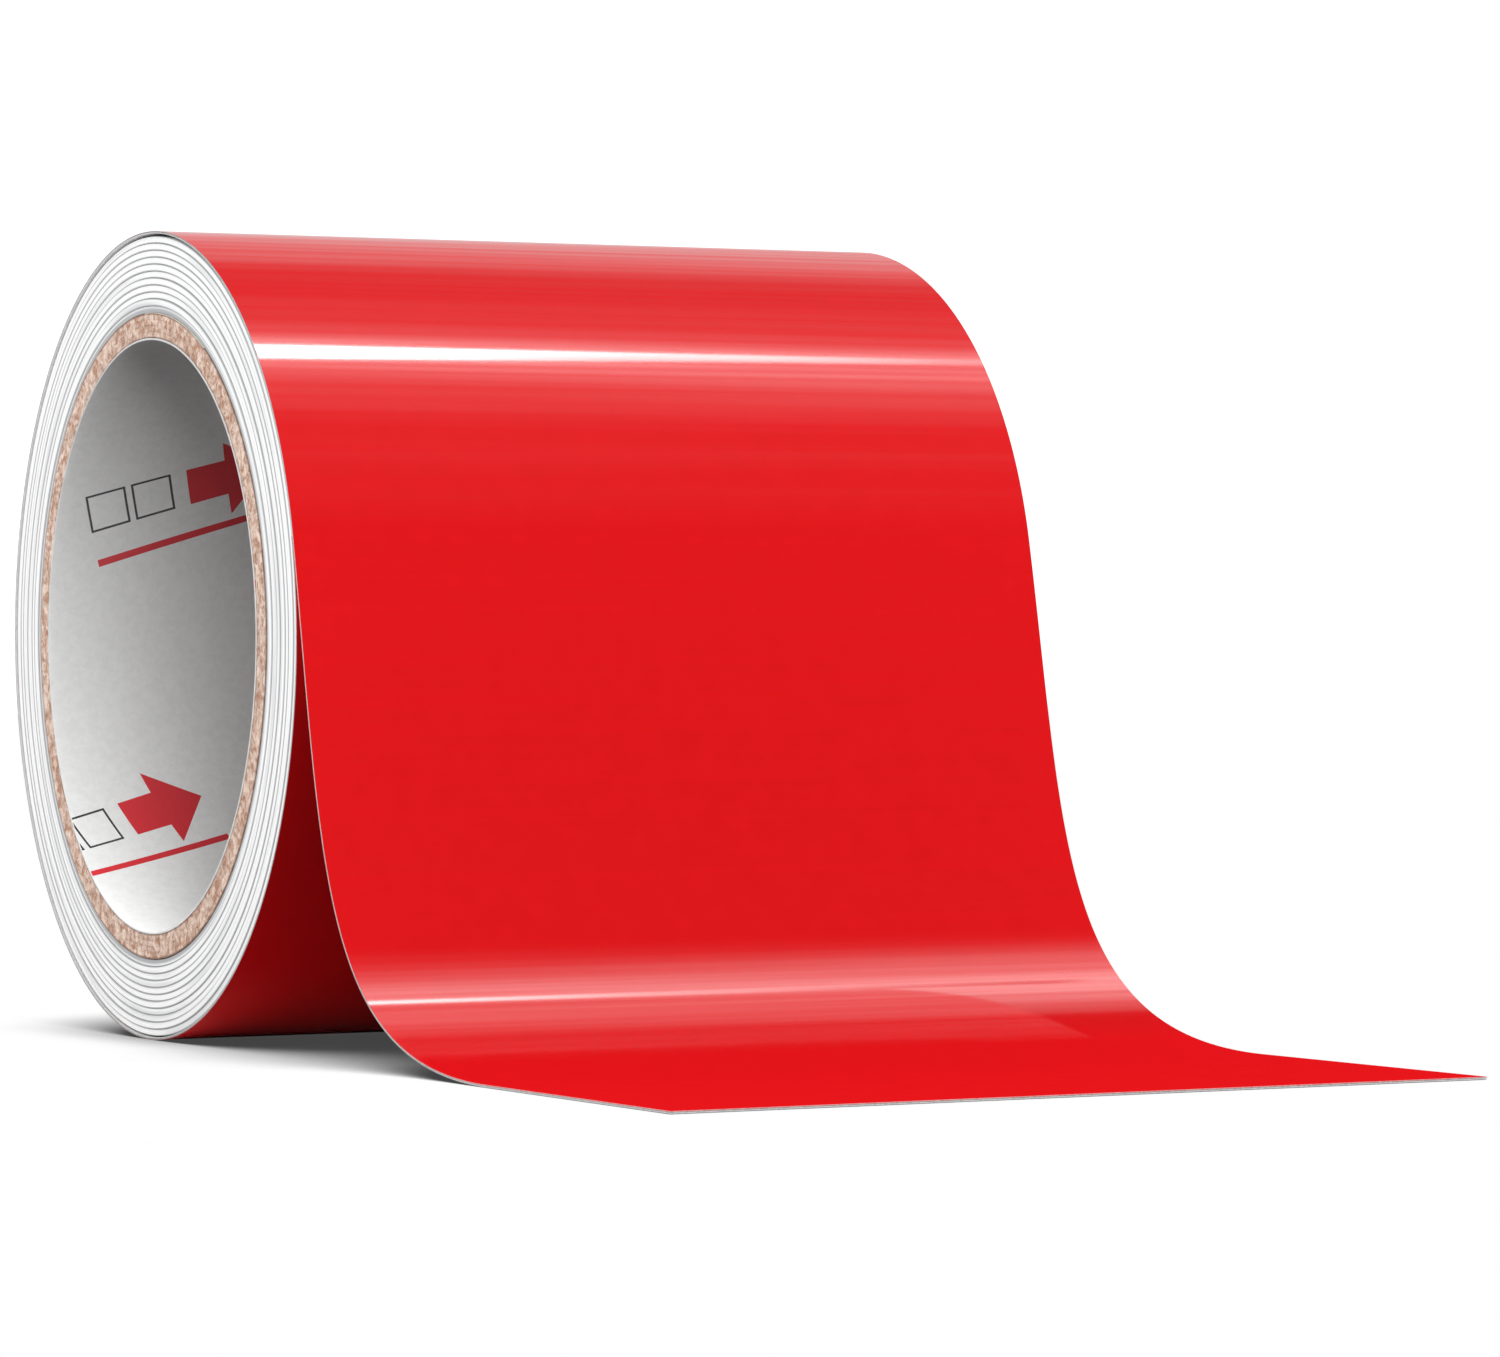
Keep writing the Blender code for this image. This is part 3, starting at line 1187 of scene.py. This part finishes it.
# Vinyl film. Red gloss calendered vinyl on its liner, uncut from the last turn of the
# roll to the leader. The gloss side faces out, and the other carries the adhesive.
PEEL_FIRST = -0.06505  # half a strip before the first hinge, so that each strip spans one
PEEL_LENGTH = 0.006
PEEL_COUNT = 6
NOOK_END = 0.088  # along the run, where the last turn comes out from under the hanging sheet
film_red, film_tree, film_shader, film_marks = marked_finish(
    "gloss_vinyl",
    0.6,
    bands=800.0,
    grain=260.0,
    darker=(0.660, 0.0068, 0.0092, 1.0),
    lighter=(0.710, 0.0080, 0.0110, 1.0),
)
film_shader.inputs["Specular IOR Level"].default_value = 0.0
film_shader.inputs["Coat IOR"].default_value = 1.5
film_shader.inputs["Coat Roughness"].default_value = 0.07
film_bump = add_node(
    film_tree,
    "ShaderNodeBump",
    {"Height": film_marks.outputs["Height"], "Strength": 0.05, "Distance": 0.0002},
)
film_tree.links.new(film_bump.outputs["Normal"], film_shader.inputs["Normal"])
film_back = marked_finish(
    "adhesive_side",
    0.4,
    bands=150.0,
    grain=900.0,
    darker=(0.52, 0.50, 0.49, 1.0),
    lighter=(0.60, 0.58, 0.57, 1.0),
)[0]
film_edge = fibre_finish(
    "vinyl_cut_edge",
    0.5,
    Dark=(0.62, 0.20, 0.20, 1.0),
    Light=(0.72, 0.36, 0.35, 1.0),
    Strand=(0.80, 0.50, 0.50, 1.0),
    Blotches=2500.0,
    Strands=0.4,
)
film_finishes = (film_red, film_back, film_edge)

turn_edge = fibre_finish(
    "vinyl_rim_edge",
    0.6,
    Dark=(0.28, 0.22, 0.22, 1.0),
    Light=(0.38, 0.31, 0.31, 1.0),
    Strand=(0.46, 0.40, 0.40, 1.0),
    Blotches=700.0,
    Strands=0.3,
)

turn_lines = [turned_line(depth, 720) for depth in (0.0, FILM_THICKNESS)]
last_turn, turn_length = laid_sheet(
    "vinyl_last_turn", *turn_lines, (film_red, film_back, turn_edge)
)
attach(last_turn, "free_web")
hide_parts("film_outer_turn")
lit_turn.objects.link(last_turn)
lit_film.objects.link(last_turn)

run_lines = [
    [turned_line(depth)[-1]] + hanging_line(depth, 400) + flat_line(depth, FOOT_Y, PEEL_FIRST)
    for depth in (0.0, FILM_THICKNESS)
]
film, film_end = laid_sheet(
    "vinyl_hanging_run", *run_lines, film_finishes, first_length=turn_length
)
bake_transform(film)
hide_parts("film_free_span", "film_leader")
lit_run.objects.link(film)
lit_film.objects.link(film)

# The gloss shows from under the hanging sheet, round the roll and down the front, and
# dies away where the film turns flat on the table.
GLOSS_FADES = 0.066
GLOSS_GONE = 0.080
film_run = add_node(film_tree, "ShaderNodeUVMap", uv_map="web_run")
film_along = add_node(film_tree, "ShaderNodeSeparateXYZ", {0: film_run.outputs["UV"]})
gloss_rises = add_node(
    film_tree,
    "ShaderNodeMapRange",
    {"Value": film_along.outputs["X"], "From Min": NOOK_END - 0.03, "From Max": NOOK_END},
)
gloss_falls = add_node(
    film_tree,
    "ShaderNodeMapRange",
    {
        "Value": film_along.outputs["X"],
        "From Min": turn_length + GLOSS_GONE,
        "From Max": turn_length + GLOSS_FADES,
    },
)
gloss_streaks = add_node(
    film_tree,
    "ShaderNodeMapRange",
    {
        "Value": film_marks.outputs["Height"],
        "From Min": 0.35,
        "From Max": 0.65,
        "To Min": 0.62,
        "To Max": 1.0,
    },
)
gloss_shown = maths(
    film_tree, "MULTIPLY", gloss_rises.outputs["Result"], gloss_falls.outputs["Result"]
)
film_tree.links.new(
    maths(film_tree, "MULTIPLY", gloss_shown, gloss_streaks.outputs["Result"]),
    film_shader.inputs["Coat Weight"],
)

# A half-open flag across the left end of the gap between the roll and the sheet.
NOOK_TURN_CLEARANCE = 0.0002
NOOK_SHEET_CLEARANCE = 0.0006
nook_roll_side = turned_line(-NOOK_TURN_CLEARANCE)[:100:6]
nook_sheet_side = hanging_line(NOOK_SHEET_CLEARANCE)[::-6]
nook_net = bpy.data.materials.new("black_net")
nook_net.use_nodes = True
nook_tree = nook_net.node_tree
nook_open = add_node(nook_tree, "ShaderNodeBsdfTransparent")
nook_black = add_node(nook_tree, "ShaderNodeBsdfDiffuse", {"Color": (0.0, 0.0, 0.0, 1.0)})
nook_spot = add_node(
    nook_tree,
    "ShaderNodeSeparateXYZ",
    {0: add_node(nook_tree, "ShaderNodeTexCoord").outputs["Object"]},
)
nook_share = add_node(
    nook_tree,
    "ShaderNodeMapRange",
    {
        "Value": nook_spot.outputs["Y"],
        "From Min": -0.02,
        "From Max": 0.045,
        "To Min": 0.12,
        "To Max": 0.75,
    },
)
nook_mix = add_node(
    nook_tree,
    "ShaderNodeMixShader",
    {0: nook_share.outputs["Result"], 1: nook_black.outputs["BSDF"], 2: nook_open.outputs["BSDF"]},
)
nook_tree.links.new(
    nook_mix.outputs["Shader"], nook_tree.nodes["Material Output"].inputs["Surface"]
)
hang_flag("nook_flag", nook_roll_side + nook_sheet_side, nook_net)

# Peeling end of the vinyl. The last few centimetres of the same film, in strips that meet without a
# gap;
# the last strip is carried by the last peel body.
PEEL_MESH_STEP = 0.0003
peel_run = film_end
peel_start = PEEL_FIRST
for strip in range(1, PEEL_COUNT + 2):
    last_strip = strip > PEEL_COUNT
    peel_stop = CUT_Y if last_strip else peel_start - PEEL_LENGTH
    strip_lines = [
        [(peel_start, WEB_THICKNESS - depth)]
        + flat_line(depth, peel_start, peel_stop, PEEL_MESH_STEP)
        for depth in (0.0, FILM_THICKNESS)
    ]
    peel, peel_run = laid_sheet(
        f"vinyl_peel_{strip}", *strip_lines, film_finishes, (False, last_strip), peel_run
    )
    if last_strip:
        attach(peel, f"peel_{PEEL_COUNT}")
    else:
        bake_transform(peel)
        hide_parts(f"film_peel_{strip}")
    peel_start = peel_stop
